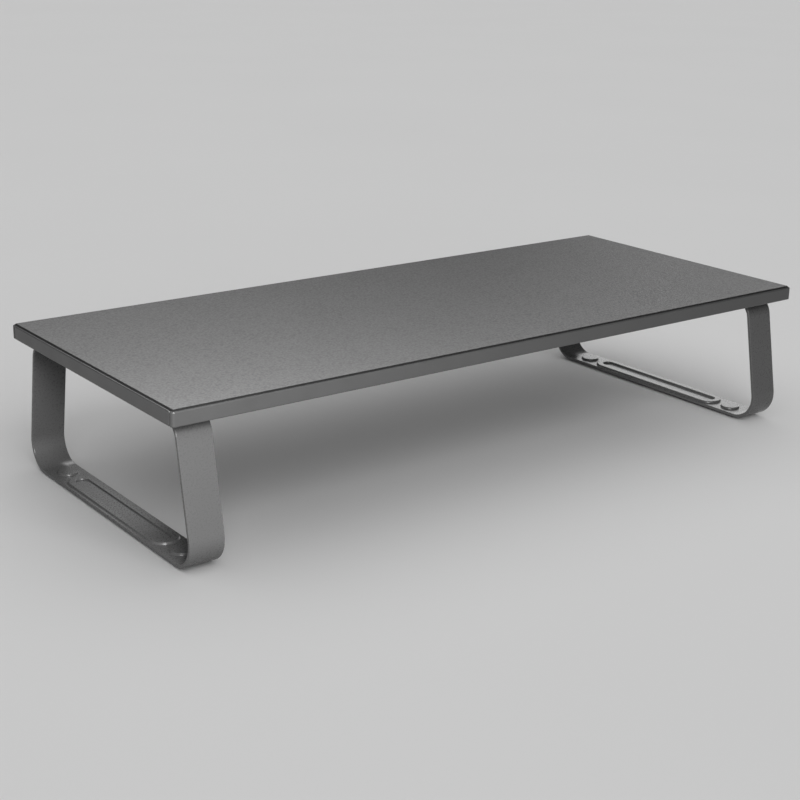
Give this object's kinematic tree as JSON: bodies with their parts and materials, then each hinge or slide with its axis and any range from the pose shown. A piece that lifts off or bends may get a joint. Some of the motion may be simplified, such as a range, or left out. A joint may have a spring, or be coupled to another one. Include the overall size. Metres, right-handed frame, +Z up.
{
  "type": "monitor riser stand",
  "caption": "Flat textured board on bent flat-bar steel loop legs that lean outward, with rubber feet; raises a monitor and leaves a keyboard bay beneath.",
  "frame": {"origin": "on the ground, under the middle of the stand", "axes": "+X along the board's long side, to the right as the user faces it; +Y to the rear; +Z up"},
  "size_m": [0.56, 0.236, 0.111],
  "materials": {
    "mdf": "raw sanded fibreboard",
    "top_laminate": "fine pebble-grained graphite laminate, black where its core shows at the bevel",
    "backing_laminate": "smooth matt balance laminate",
    "edge_band": "satin graphite edging with rounded edges",
    "leg_coat": "satin graphite powder coat",
    "screw_steel": "black zinc plated",
    "insert_steel": "zinc plated",
    "foot_rubber": "matt moulded rubber"
  },
  "bodies": {
    "root": {"board_core": "mdf", "top_sheet": "top_laminate", "backing_sheet": "backing_laminate", "edge_band_front": "edge_band", "edge_band_rear": "edge_band", "edge_band_left": "edge_band", "edge_band_right": "edge_band", "leg_left": "leg_coat", "leg_right": "leg_coat", "foot_strip_left": "foot_rubber", "foot_dot_left_front": "foot_rubber", "foot_dot_left_rear": "foot_rubber", "foot_strip_right": "foot_rubber", "foot_dot_right_front": "foot_rubber", "foot_dot_right_rear": "foot_rubber", "screws_left_front": "screw_steel", "inserts_left_front": "insert_steel", "screws_left_rear": "screw_steel", "inserts_left_rear": "insert_steel", "screws_right_front": "screw_steel", "inserts_right_front": "insert_steel", "screws_right_rear": "screw_steel", "inserts_right_rear": "insert_steel"}
  },
  "joints": []
}
